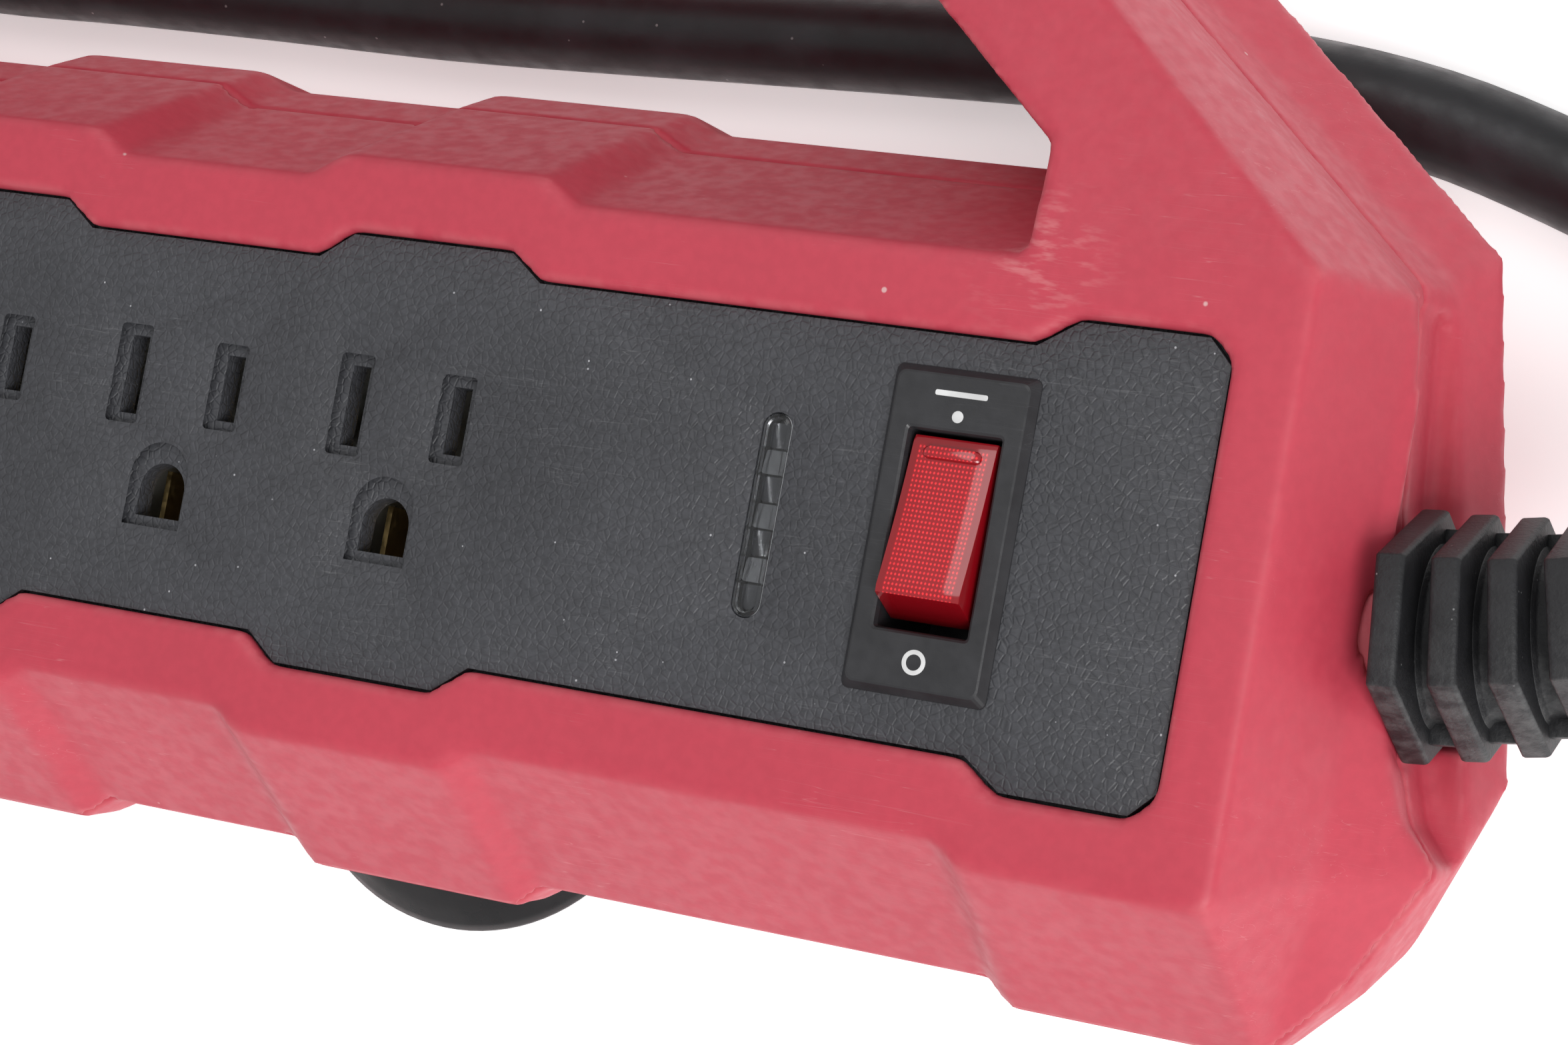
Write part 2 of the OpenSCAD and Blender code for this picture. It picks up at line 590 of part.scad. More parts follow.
module cord_coil() color(black) translate([coil_mid[0], coil_mid[1], coil_lift])
    rotate_extrude($fn = 96) translate([coil_in, 0]) square([coil_out - coil_in, coil_h]);

tie_turn = 200;
tie_w = 16;
tie_gap = 0.2;
module cord_tie() color([0.2, 0.2, 0.2]) translate([coil_mid[0], coil_mid[1], 0])
    rotate([0, 0, tie_turn]) difference() {
        translate([coil_in - 2, -tie_w / 2, 0]) cube([coil_out - coil_in + 4, tie_w, coil_h + 2.2]);
        translate([coil_in - 1, -tie_w, coil_lift - tie_gap])
            cube([coil_out - coil_in + 2, 2 * tie_w, coil_h + 2 * tie_gap]);
    }

// --- plug ------------------------------------------------------------------------------

plug_l = 36;
plug_relief_l = 26;
plug_face = plug_relief_l + plug_l;
blade_side = 5.9;
blade_l = 17.6;
blade_w = 6.35;
blade_t = 1.5;
pin_l = 20.6;
pin_reach = 5.95;
ground_pin_r = 2.4;
plug_half = [15.5, 13];

// Along the plug from its strain relief's end, lying on its side
module in_plug() translate(plug_at) children();

module plug_section(inset, r) hull() for (sy = [-1, 1]) for (sz = [-1, 1])
    translate([sy * (plug_half[0] - inset - r), sz * (plug_half[1] - inset - r)]) circle(r);

module plug_body() color(black) in_plug() rotate([90, 0, 90]) {
    cylinder(plug_relief_l, 7, 9);
    translate([0, 0, plug_relief_l - 3]) cylinder(12, 9.5, 12);
    translate([0, 0, plug_relief_l + 8]) linear_extrude(plug_l - 14) plug_section(1.5, 6);
    translate([0, 0, plug_face - 7]) linear_extrude(7) plug_section(0, 7);
}

module plug_blades() color(brass) in_plug() for (s = [-1, 1])
    translate([plug_face, blade_side - blade_w / 2, s * slot_gap / 2 - blade_t / 2])
        cube([blade_l, blade_w, blade_t]);

module plug_ground_pin() color(brass) in_plug() translate([plug_face, -pin_reach, 0])
    rotate([0, 90, 0]) cylinder(pin_l, ground_pin_r, ground_pin_r);

front_shell();
rear_shell();
face_plate();
contact_tray();
hot_bar();
neutral_bar();
ground_bar();
switch_housing();
rocker();
rocker_lamp();
switch_contact();
switch_terminals();
indicator_lens();
indicator_led();
surge_board();
varistors();
thermal_fuse();
filter_capacitor();
board_screws();
strain_relief();
cord_clamp();
clamp_screws();
cord_jacket();
hot_lead();
switched_lead();
neutral_lead();
ground_lead();
shell_screws();
suction_cup_1();
suction_cup_2();
suction_cup_3();
suction_cup_4();
cord();
cord_coil();
cord_tail();
cord_tie();
plug_body();
plug_blades();
plug_ground_pin();
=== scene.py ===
import json
import math

import bmesh
import bpy
from mathutils import Matrix, Vector


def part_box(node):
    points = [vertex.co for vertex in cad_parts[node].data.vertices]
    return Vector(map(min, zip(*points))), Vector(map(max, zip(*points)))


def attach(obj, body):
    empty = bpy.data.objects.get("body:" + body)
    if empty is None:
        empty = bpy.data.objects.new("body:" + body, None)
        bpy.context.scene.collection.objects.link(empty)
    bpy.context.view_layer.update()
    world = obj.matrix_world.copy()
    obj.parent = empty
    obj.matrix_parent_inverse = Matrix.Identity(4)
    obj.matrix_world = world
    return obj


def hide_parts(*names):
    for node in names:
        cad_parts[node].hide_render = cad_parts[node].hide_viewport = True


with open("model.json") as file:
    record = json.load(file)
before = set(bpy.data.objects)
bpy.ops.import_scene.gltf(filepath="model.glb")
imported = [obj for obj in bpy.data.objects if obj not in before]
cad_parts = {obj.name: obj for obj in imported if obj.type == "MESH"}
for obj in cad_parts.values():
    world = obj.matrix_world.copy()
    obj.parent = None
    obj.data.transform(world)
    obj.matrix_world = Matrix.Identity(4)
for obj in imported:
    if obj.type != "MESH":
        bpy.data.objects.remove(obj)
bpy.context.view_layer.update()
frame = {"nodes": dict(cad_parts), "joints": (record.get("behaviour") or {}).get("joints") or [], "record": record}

MM = 0.001


# --- helpers: points, meshes and finishes ------------------------------------------------


def mm(*values):
    """A point in metres from millimetres."""
    return Vector(values) * MM


def copy_of(node, name):
    """A separate mesh with the shape of a CAD node, its corners joined up."""
    work = bmesh.new()
    work.from_mesh(frame["nodes"][node].data)
    bmesh.ops.remove_doubles(work, verts=work.verts, dist=2e-6)
    mesh = bpy.data.meshes.new(name)
    work.to_mesh(mesh)
    work.free()
    piece = bpy.data.objects.new(name, mesh)
    bpy.context.scene.collection.objects.link(piece)
    return piece


def apply_modifiers(piece):
    graph = bpy.context.evaluated_depsgraph_get()
    mesh = bpy.data.meshes.new_from_object(piece.evaluated_get(graph))
    piece.modifiers.clear()
    piece.data = mesh


def bevel(piece, width, segments, angle):
    step = piece.modifiers.new("edges", "BEVEL")
    step.width = width * MM
    step.segments = segments
    step.limit_method = "ANGLE"
    step.angle_limit = math.radians(angle)
    step.use_clamp_overlap = True
    step.harden_normals = False


def shade(piece, angle):
    """Smooth shading, with the edges sharper than an angle kept crisp."""
    mesh = piece.data
    mesh.polygons.foreach_set("use_smooth", [True] * len(mesh.polygons))
    work = bmesh.new()
    work.from_mesh(mesh)
    for edge in work.edges:
        if len(edge.link_faces) == 2 and edge.calc_face_angle() > math.radians(angle):
            edge.smooth = False
    work.to_mesh(mesh)
    work.free()


def solid(name, build):
    """A mesh that build(bmesh) fills in."""
    work = bmesh.new()
    build(work)
    bmesh.ops.recalc_face_normals(work, faces=work.faces)
    mesh = bpy.data.meshes.new(name)
    work.to_mesh(mesh)
    work.free()
    piece = bpy.data.objects.new(name, mesh)
    bpy.context.scene.collection.objects.link(piece)
    return piece


def skin(work, rings, caps=True):
    """Joins closed rings of points into a surface, and by choice fills in its two ends."""
    rows = [[work.verts.new(p) for p in ring] for ring in rings]
    n = len(rows[0])
    for a, b in zip(rows, rows[1:]):
        for i in range(n):
            j = (i + 1) % n
            work.faces.new([a[i], a[j], b[j], b[i]])
    if caps:
        work.faces.new(list(reversed(rows[0])))
        work.faces.new(rows[-1])
    return rows


def join_round(work, rows):
    """Joins the last ring of a surface to its first."""
    n = len(rows[0])
    for i in range(n):
        j = (i + 1) % n
        work.faces.new([rows[-1][i], rows[-1][j], rows[0][j], rows[0][i]])


def rounded(w, h, r, steps):
    """Points round a rectangle with round corners, w by h, about the origin."""
    r = min(r, w / 2 - 1e-4, h / 2 - 1e-4)
    out = []
    for cx, cy, turn in ((1, 1, 0), (-1, 1, 90), (-1, -1, 180), (1, -1, 270)):
        for k in range(steps + 1):
            a = math.radians(turn + 90 * k / steps)
            out.append((cx * (w / 2 - r) + r * math.cos(a), cy * (h / 2 - r) + r * math.sin(a)))
    return out


def circle(r, steps):
    """Points round a circle about the origin."""
    return [(r * math.cos(t * math.tau / steps), r * math.sin(t * math.tau / steps))
            for t in range(steps)]


def subtract(piece, cutter, use_self=True):
    """Takes one closed mesh out of another, and removes the cutter."""
    cut = piece.modifiers.new("cut", "BOOLEAN")
    cut.operation = "DIFFERENCE"
    cut.solver = "EXACT"
    cut.use_self = use_self
    cut.object = cutter
    apply_modifiers(piece)
    bpy.data.objects.remove(cutter)


def finish_with(piece, material, body="housing", nodes=()):
    piece.data.materials.clear()
    piece.data.materials.append(material)
    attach(piece, body)
    if nodes:
        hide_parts(*nodes)
    return piece


class Finish:
    """A procedural material, built on a Principled shader, with places in millimetres."""

    def __init__(self, name, color, rough=0.5, **sockets):
        self.material = bpy.data.materials.new(name)
        self.material.use_nodes = True
        self.tree = self.material.node_tree
        self.shader = self.tree.nodes["Principled BSDF"]
        where = self.tree.nodes.new("ShaderNodeTexCoord")
        scale = self.tree.nodes.new("ShaderNodeVectorMath")
        scale.operation = "SCALE"
        scale.inputs["Scale"].default_value = 1000
        self.tree.links.new(where.outputs["Object"], scale.inputs[0])
        self.place = scale.outputs[0]
        self.color = self.rgb(color)
        self.rough = rough
        self.height = None
        for key, value in sockets.items():
            self.shader.inputs[key.replace("_", " ")].default_value = value

    def node(self, kind, **sockets):
        n = self.tree.nodes.new(kind)
        for key, value in sockets.items():
            self.feed(n.inputs[key.replace("_", " ")], value)
        return n

    def feed(self, socket, value):
        if isinstance(value, bpy.types.NodeSocket):
            self.tree.links.new(value, socket)
        else:
            socket.default_value = value

    def rgb(self, color):
        n = self.tree.nodes.new("ShaderNodeRGB")
        n.outputs[0].default_value = (*color, 1)
        return n.outputs[0]

    def math(self, how, a, b=0.0):
        n = self.tree.nodes.new("ShaderNodeMath")
        n.operation = how
        self.feed(n.inputs[0], a)
        self.feed(n.inputs[1], b)
        return n.outputs[0]

    def stretched(self, x, y, z, turn=0):
        n = self.tree.nodes.new("ShaderNodeMapping")
        self.tree.links.new(self.place, n.inputs["Vector"])
        n.inputs["Scale"].default_value = (x, y, z)
        n.inputs["Rotation"].default_value = (0, 0, math.radians(turn))
        return n.outputs[0]

    def noise(self, per_mm, detail=3, rough=0.5, place=None):
        n = self.node("ShaderNodeTexNoise", Scale=per_mm, Detail=detail, Roughness=rough)
        self.tree.links.new(place or self.place, n.inputs["Vector"])
        return n.outputs["Fac"]

    def cells(self, per_mm, feature="F1", place=None, out="Distance"):
        n = self.node("ShaderNodeTexVoronoi", Scale=per_mm)
        n.feature = feature
        self.tree.links.new(place or self.place, n.inputs["Vector"])
        return n.outputs[out]

    def step(self, value, low, high, start=0.0, end=1.0):
        n = self.tree.nodes.new("ShaderNodeMapRange")
        n.interpolation_type = "SMOOTHSTEP"
        n.clamp = True
        self.feed(n.inputs["Value"], value)
        n.inputs["From Min"].default_value = low
        n.inputs["From Max"].default_value = high
        n.inputs["To Min"].default_value = start
        n.inputs["To Max"].default_value = end
        return n.outputs["Result"]

    def over(self, color, factor):
        """Lays a colour over what is there."""
        n = self.tree.nodes.new("ShaderNodeMix")
        n.data_type = "RGBA"
        self.feed(n.inputs["Factor"], factor)
        self.tree.links.new(self.color, n.inputs[6])
        n.inputs[7].default_value = (*color, 1)
        self.color = n.outputs[2]

    def vary(self, amount, per_mm, detail=3):
        """Lighter and darker patches, by a share of the brightness."""
        n = self.node("ShaderNodeHueSaturation")
        self.tree.links.new(self.color, n.inputs["Color"])
        self.tree.links.new(
            self.step(self.noise(per_mm, detail), 0.3, 0.7, 1 - amount, 1 + amount),
            n.inputs["Value"],
        )
        self.color = n.outputs["Color"]

    def raise_by(self, height, amount):
        part = self.math("MULTIPLY", height, amount)
        self.height = part if self.height is None else self.math("ADD", self.height, part)

    def dust(self, density, light, per_mm, strength):
        """Sparse light specks of uneven size."""
        spots = self.cells(per_mm)
        pick = self.node("ShaderNodeSeparateColor")
        self.tree.links.new(self.cells(per_mm, out="Color"), pick.inputs[0])
        rare = self.step(pick.outputs[0], density, density + 0.004)
        near = self.step(spots, 0.06, 0.11, 1, 0)
        self.over(light, self.math("MULTIPLY", self.math("MULTIPLY", rare, near), strength))

    def split(self, vector):
        """The x, y and z of a vector."""
        n = self.node("ShaderNodeSeparateXYZ")
        self.tree.links.new(vector, n.inputs[0])
        return n.outputs

    def facing(self):
        """The x, y and z of the direction that the surface faces."""
        return self.split(self.node("ShaderNodeNewGeometry").outputs["Normal"])

    def near(self, point, reach):
        """1 at a point in millimetres, falling to 0 at the reach."""
        n = self.node("ShaderNodeVectorMath")
        n.operation = "DISTANCE"
        self.tree.links.new(self.place, n.inputs[0])
        n.inputs[1].default_value = point
        return self.step(n.outputs["Value"], 0, reach, 1, 0)

    def scratches(self, light, strength, turn):
        """A few thin, long, straight marks."""
        lines = self.noise(1, 1, 0.4, self.stretched(0.0385, 1.76, 0.33, turn))
        where = self.step(self.noise(0.05, 2), 0.52, 0.62)
        thin = self.step(self.math("ABSOLUTE", self.math("SUBTRACT", lines, 0.5)), 0.0, 0.006, 1, 0)
        self.over(light, self.math("MULTIPLY", self.math("MULTIPLY", thin, where), strength))

    def done(self, bump_mm, strength):
        self.tree.links.new(self.color, self.shader.inputs["Base Color"])
        self.feed(self.shader.inputs["Roughness"], self.rough)
        if self.height is not None:
            n = self.tree.nodes.new("ShaderNodeBump")
            n.inputs["Strength"].default_value = strength
            n.inputs["Distance"].default_value = bump_mm * MM
            self.tree.links.new(self.height, n.inputs["Height"])
            self.tree.links.new(n.outputs[0], self.shader.inputs["Normal"])
        return self.material


# --- materials ---------------------------------------------------------------------------


def red_plastic():
    f = Finish("red plastic", (0.54, 0.052, 0.083), 0.5, Specular_IOR_Level=0.45)
    f.vary(0.03, 0.03)
    f.vary(0.03, 0.8, 4)
    for point in ((116, 1, 64), (-116, 1, 64)):
        streaks = f.noise(1, 3, 0.6, f.stretched(0.25, 0.9, 0.5, 30))
        pale = f.math("MULTIPLY", f.near(point, 11), f.step(streaks, 0.5, 0.7))
        f.over((0.72, 0.26, 0.27), f.math("MULTIPLY", pale, 0.5))
    edge = f.tree.nodes.new("ShaderNodeNewGeometry").outputs["Pointiness"]
    worn = f.math("MULTIPLY", f.step(edge, 0.515, 0.56), f.step(f.noise(0.3, 4), 0.35, 0.6))
    f.over((0.74, 0.2, 0.22), f.math("MULTIPLY", worn, 0.35))
    f.scratches((0.7, 0.3, 0.32), 0.25, 25)
    f.dust(0.965, (0.8, 0.62, 0.6), 0.3, 0.6)
    f.rough = f.step(f.noise(0.5, 4), 0.3, 0.7, 0.42, 0.56)
    f.raise_by(f.noise(2.6, 4, 0.6), 0.5)
    return f.done(0.03, 0.5)


def face_plastic():
    f = Finish("charcoal grain plastic", (0.052, 0.053, 0.06), 0.5, Specular_IOR_Level=0.5)
    f.vary(0.12, 0.04)
    f.vary(0.16, 1.3, 4)
    grain = f.cells(1.15, "DISTANCE_TO_EDGE", f.stretched(1, 1, 1, 10))
    f.over((0.035, 0.035, 0.039), f.step(grain, 0.0, 0.09, 0.25, 0))
    f.dust(0.93, (0.55, 0.55, 0.58), 0.75, 0.75)
    f.scratches((0.2, 0.2, 0.21), 0.3, 70)
    f.scratches((0.2, 0.2, 0.21), 0.25, -15)
    f.rough = f.step(f.noise(0.9, 4), 0.3, 0.7, 0.4, 0.58)
    f.raise_by(f.step(grain, 0.0, 0.2), 0.9)
    f.raise_by(f.noise(3, 4, 0.6), 0.5)
    return f.done(0.08, 0.8)


def black_plastic():
    f = Finish("satin black plastic", (0.028, 0.028, 0.031), Specular_IOR_Level=0.5)
    f.vary(0.15, 0.2)
    f.scratches((0.16, 0.16, 0.17), 0.25, 40)
    f.dust(0.96, (0.45, 0.45, 0.46), 0.6, 0.6)
    f.rough = f.step(f.noise(0.8, 4), 0.3, 0.7, 0.3, 0.44)
    f.raise_by(f.noise(3.2, 4, 0.6), 0.4)
    return f.done(0.04, 0.6)


def ribbed_rubber():
    f = Finish("textured black relief", (0.016, 0.016, 0.018), 0.5, Specular_IOR_Level=0.4)
    f.vary(0.2, 0.25)
    # painted highlight: patchy grey on the faces turned towards -y, the side the key lamp lights
    low = f.step(f.facing()[1], 0.2, -0.7)
    painted_highlight = f.math("MULTIPLY", low, f.step(f.noise(0.45, 6, 0.65), 0.38, 0.66))
    f.over((0.16, 0.16, 0.16), f.math("MULTIPLY", painted_highlight, 0.35))
    f.dust(0.9, (0.4, 0.4, 0.4), 0.9, 0.5)
    f.raise_by(f.noise(1.6, 5, 0.65), 1.0)
    return f.done(0.14, 0.9)


def soft_rubber(name, color, rough, bump, per_mm):
    f = Finish(name, color, rough, Specular_IOR_Level=0.45)
    f.vary(0.15, 0.08)
    worn = f.math("MULTIPLY", f.step(f.noise(0.12, 5), 0.5, 0.75), 0.3)
    f.over(tuple(3 * c for c in color), worn)
    f.dust(0.94, (0.35, 0.35, 0.35), 0.5, 0.5)
    f.rough = f.step(f.noise(0.3, 4), 0.3, 0.7, rough - 0.07, rough + 0.09)
    f.raise_by(f.noise(per_mm, 4, 0.6), 0.6)
    return f.done(bump, 0.7)


def simple(name, color, rough, metal=0.0):
    f = Finish(name, color, rough, Metallic=metal)
    f.vary(0.12, 0.3)
    f.scratches(tuple(min(1, c * 1.5 + 0.03) for c in color), 0.2, 30)
    f.rough = f.step(f.noise(1.5, 4), 0.3, 0.7, rough - 0.08, rough + 0.1)
    f.raise_by(f.noise(3, 4, 0.6), 0.5)
    return f.done(0.03, 0.6)


def clear(name, color, rough, weight):
    f = Finish(name, color, rough, Transmission_Weight=weight, IOR=1.48)
    f.vary(0.06, 0.5)
    f.dust(0.95, (0.8, 0.8, 0.8), 0.8, 0.5)
    f.raise_by(f.noise(1.2, 3), 0.3)
    return f.done(0.02, 0.4)


def rocker_plastic(centre):
    """Red translucent plastic with a fine lit grid of dots inside it."""
    deep = (0.5, 0.006, 0.014)
    f = Finish("translucent red rocker", deep, 0.14, Coat_Weight=0.6, Coat_Roughness=0.05)
    f.vary(0.08, 0.15)
    move = f.node("ShaderNodeVectorMath")
    move.operation = "SUBTRACT"
    f.tree.links.new(f.place, move.inputs[0])
    move.inputs[1].default_value = tuple(centre / MM)
    x, y, _ = f.split(move.outputs[0])

    def wave(value, pitch):
        """Rises from 0 to 1 and falls again, once in each pitch."""
        return f.math("DIVIDE", f.math("PINGPONG", value, pitch / 2), pitch / 2)

    dots = f.math("MULTIPLY", wave(x, 0.42), wave(y, 0.5))
    inside_x = f.step(f.math("ABSOLUTE", x), 3.55, 3.75, 1, 0)
    inside_y = f.step(f.math("ABSOLUTE", y), 8.3, 8.55, 1, 0)
    inside = f.math("MULTIPLY", inside_x, inside_y)
    inside = f.math("MULTIPLY", inside, f.step(f.facing()[2], 0.8, 0.9))
    f.over((0.2, 0.002, 0.006), f.math("MULTIPLY", f.math("SUBTRACT", 1.0, inside), 0.7))
    lit = f.math("MULTIPLY", f.step(dots, 0.22, 0.6), inside)
    f.over((0.85, 0.025, 0.035), lit)
    f.over((0.25, 0.002, 0.008), f.math("MULTIPLY", f.math("SUBTRACT", inside, lit), 0.6))
    glow = f.math("MULTIPLY", lit, 0.15)
    f.tree.links.new(glow, f.shader.inputs["Emission Strength"])
    f.shader.inputs["Emission Color"].default_value = (1.0, 0.03, 0.03, 1)
    f.raise_by(f.noise(1.0, 3), 0.3)
    return f.done(0.02, 0.4)


RED = red_plastic()
FACE = face_plastic()
SWITCH = black_plastic()
RELIEF = ribbed_rubber()
CORD = soft_rubber("satin cord jacket", (0.014, 0.014, 0.016), 0.42, 0.05, 1.6)
CUP = soft_rubber("smooth cup rubber", (0.014, 0.014, 0.015), 0.32, 0.04, 1.2)
PLUG = soft_rubber("moulded plug rubber", (0.018, 0.018, 0.02), 0.45, 0.08, 1.8)
TIE = soft_rubber("woven strap", (0.015, 0.015, 0.016), 0.8, 0.3, 1.4)
BRASS = simple("plated brass", (0.75, 0.58, 0.3), 0.25, 1.0)
STEEL = simple("zinc plated steel", (0.6, 0.6, 0.62), 0.3, 1.0)
BY_SLOT = {
    "red_shell": RED,
    "face_black": FACE,
    "switch_black": SWITCH,
    "tray_plastic": simple("natural tray plastic", (0.7, 0.69, 0.64), 0.5),
    "lamp_glass": clear("lamp glass", (1.0, 0.6, 0.45), 0.1, 0.8),
    "lens_clear": clear("window plastic", (0.9, 0.92, 0.94), 0.04, 1.0),
    "led_clear": clear("indicator glass", (0.85, 0.92, 0.86), 0.1, 0.8),
    "contact_brass": simple("stamped contact brass", (0.42, 0.3, 0.13), 0.38, 1.0),
    "board_green": simple("board laminate", (0.02, 0.16, 0.06), 0.4),
    "varistor_blue": simple("blue epoxy", (0.02, 0.06, 0.33), 0.25),
    "fuse_white": simple("white ceramic", (0.78, 0.78, 0.74), 0.45),
    "capacitor_yellow": simple("yellow case", (0.72, 0.5, 0.07), 0.35),
    "screw_steel": STEEL,
    "relief_rubber": RELIEF,
    "cup_rubber": CUP,
    "cord_rubber": CORD,
    "lead_black": simple("black insulation", (0.02, 0.02, 0.02), 0.45),
    "lead_white": simple("white insulation", (0.75, 0.75, 0.75), 0.45),
    "lead_green": simple("green insulation", (0.03, 0.3, 0.08), 0.45),
    "tie_black": TIE,
    "plug_rubber": PLUG,
    "plug_brass": BRASS,
}

# --- where the CAD parts are -------------------------------------------------------------

FACE_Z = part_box("face_plate")[1].z
switch_lo, switch_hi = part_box("switch_housing")
SWITCH_AT = Vector(((switch_lo.x + switch_hi.x) / 2, (switch_lo.y + switch_hi.y) / 2, FACE_Z))
PIVOT = Vector(frame["joints"][0]["pos_m"])
FIRST_OUTLET = (0.047, -0.023)
OUTLET_PITCH = 28.5
OUTLETS = [
    Vector((FIRST_OUTLET[0] - OUTLET_PITCH * MM * i, FIRST_OUTLET[1], FACE_Z)) for i in range(6)
]
HALF_BLADES = 6.35  # half the distance between an outlet's blades

# --- the lead: along its route, twice round the coil and out to the plug -------------------

CORD_D = 11.7
relief_lo, relief_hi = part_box("strain_relief")
SEAM_Z = (relief_lo.z + relief_hi.z) / 2 / MM
RIBS = 8
RIB_PITCH = 5.45
FIRST_RIB = (152.3, -28.7)


def lean(i):
    """The strain relief's direction at a rib, turned from x towards y."""
    return math.radians(5.2 + 2.4 * i)


def rib_at(i):
    """Start of a rib on the strain relief's bent centre line, in millimetres."""
    x, y = FIRST_RIB
    for k in range(i):
        x += RIB_PITCH * math.cos(lean(k + 0.5))
        y += RIB_PITCH * math.sin(lean(k + 0.5))
    return Vector((x, y, SEAM_Z))


HEADING = Vector((math.cos(lean(RIBS)), math.sin(lean(RIBS)), 0))
TIP = rib_at(RIBS) + 6 * HEADING

ROUTE = [
    (213, -6, 42), (224.5, 10, 38.5), (229, 30, 32), (233, 49, 24.5), (243.5, 66, 17),
    (260, 77, 11), (279, 80.5, 7.5), (298, 76.5, 6), (314, 66, 5.85), (325, 49.5, 5.85),
    (329, 30, 5.85), (325, 11, 5.85), (314, -5, 5.85), (298, -16, 5.85), (279, -19.5, 5.85),
    (260, -16, 5.85), (237, -7, 5.85), (214, 1.5, 5.85), (190, 11, 5.85), (170, 18.5, 5.85),
    (151, 25.6, 5.85), (135, 30.3, 5.85), (118, 32.8, 5.85), (98, 33.7, 5.85),
    (76, 33.6, 5.85), (54, 33.2, 5.85), (31, 32.7, 5.85), (8, 32.4, 5.85), (-18, 32.8, 5.85),
    (-41, 33, 5.85), (-64, 33, 5.85), (-90, 34.5, 5.85), (-115, 38, 5.85), (-140, 42.8, 5.85),
    (-165, 48, 6), (-185, 52, 6.4), (-199, 54.3, 6.6), (-217, 55.7, 6.8),
]
COIL_MID = Vector((-235, 0, 0))
COIL_R = 50
COIL_LAY = 11.8  # from one turn to the next beside it
COIL_Z = 6.85
COIL_RISE = 11.65
COIL_END = 960
TAIL = [
    (-183.5, -9.5, 19.3), (-177.5, 7, 19.5), (-174.5, 25, 19), (-174, 45, 18.6),
    (-170.5, 62, 17.6), (-162, 77, 15.6), (-149, 88.5, 13.8), (-134, 95.5, 13), (-118, 98, 13),
]
PLUG_AT = Vector(TAIL[-1])


def ease(t):
    """0 before 0 and 1 after 1, with a smooth change between them."""
    t = min(1, max(0, t))
    return t * t * (3 - 2 * t)


def coil_point(turned):
    """Centre line of the coil, by how far round it is, in degrees, from its start.

    The first turn lies outside, the second inside it and the last part on top of both.
    """
    angle = math.radians(90 + turned)
    inward = ease((turned - 300) / 60)
    upward = ease((turned - 600) / 60)
    r = COIL_R + COIL_LAY / 2 - COIL_LAY * inward + COIL_LAY / 2 * upward
    z = COIL_Z + COIL_RISE * upward
    return COIL_MID + Vector((r * math.cos(angle), r * math.sin(angle), z))


def smooth_line(points, steps):
    """A smooth curve through the points."""
    out = []
    end = len(points) - 1
    for i in range(end):
        a, b, c, d = (points[min(max(k, 0), end)] for k in range(i - 1, i + 3))
        for k in range(steps):
            t = k / steps
            out.append(
                0.5 * (2 * b + (c - a) * t + (2 * a - 5 * b + 4 * c - d) * t * t
                       + (3 * b - a - 3 * c + d) * t ** 3)
            )
    return out + [points[-1]]


lead = [TIP - 8 * HEADING, TIP] + [Vector(p) for p in ROUTE]
lead += [coil_point(a) for a in range(0, COIL_END + 1, 10)]
lead += [Vector(p) for p in TAIL] + [PLUG_AT + Vector((5, 0, 0))]
line = smooth_line(lead, 4)

curve = bpy.data.curves.new("mains_lead", "CURVE")
curve.dimensions = "3D"
spline = curve.splines.new("POLY")
spline.use_smooth = True
spline.points.add(len(line) - 1)
for point, at in zip(spline.points, line):
    point.co = (*(at * MM), 1)
curve.bevel_depth = CORD_D / 2 * MM
curve.bevel_resolution = 8
curve.use_fill_caps = True
mains_lead = bpy.data.objects.new("mains_lead", curve)
bpy.context.scene.collection.objects.link(mains_lead)
finish_with(mains_lead, CORD, nodes=("cord", "cord_coil", "cord_tail"))

# --- strain relief: six-sided plates on a bent core ----------------------------------------


def rib_frame(i):
    """Matrix from (across, up, along) of a rib to the shared frame, in millimetres."""
    a = lean(i)
    along = Vector((math.cos(a), math.sin(a), 0))
    across = Vector((-math.sin(a), math.cos(a), 0))
    m = Matrix((across, Vector((0, 0, 1)), along)).transposed().to_4x4()
    m.translation = rib_at(i)
    return m


def relief_skin(work, m, outlines):
    """A closed surface through (outline, distance along) pairs, placed by a rib's matrix."""
    skin(work, [[MM * (m @ Vector((x, y, z))) for x, y in outline] for outline, z in outlines])


def tube(work, rings, steps):
    """A round solid along x on the strain relief's axis, from its (x, radius) pairs."""
    skin(work, [[MM * Vector((x, FIRST_RIB[1] + y, SEAM_Z + z)) for y, z in circle(r, steps)]
                for x, r in rings])


def build_relief(work):
    for i in range(RIBS):
        k = 0.965 ** i
        m = rib_frame(i)
        rib = [(12.6, 0), (6.3, 15), (-6.3, 15), (-12.6, 0), (-6.3, -15), (6.3, -15)]
        relief_skin(work, m, [([(k * x * s, k * y * s) for x, y in rib], z)
                              for z, s in ((0, 0.985), (0.35, 1), (2.5, 1), (2.9, 0.98))])
        r = 8.6 - 0.22 * i
        core = ((-0.4, 1), (2.9, 1.08), (3.4, 1), (5.0, 0.985), (5.9, 1.05))
        relief_skin(work, m, [(circle(r * s, 40), z) for z, s in core])
        for side in (-1, 1):
            near, far = side * 7.5 * k, side * 10.6 * k
            web = [(near, -0.9), (far, -0.9), (far, 0.9), (near, 0.9)]
            relief_skin(work, m, [(web, 2.6), (web, 5.7)])
    lip = ((-0.5, 7.4), (0.4, 7.2), (3.4, 6.85), (5.3, 6.75), (5.8, 6.6), (6, 6.3), (6, 5.4))
    relief_skin(work, rib_frame(RIBS), [(circle(r, 48), z) for z, r in lip])
    tube(work, ((137.6, 8.4), (152.6, 8.4)), 48)


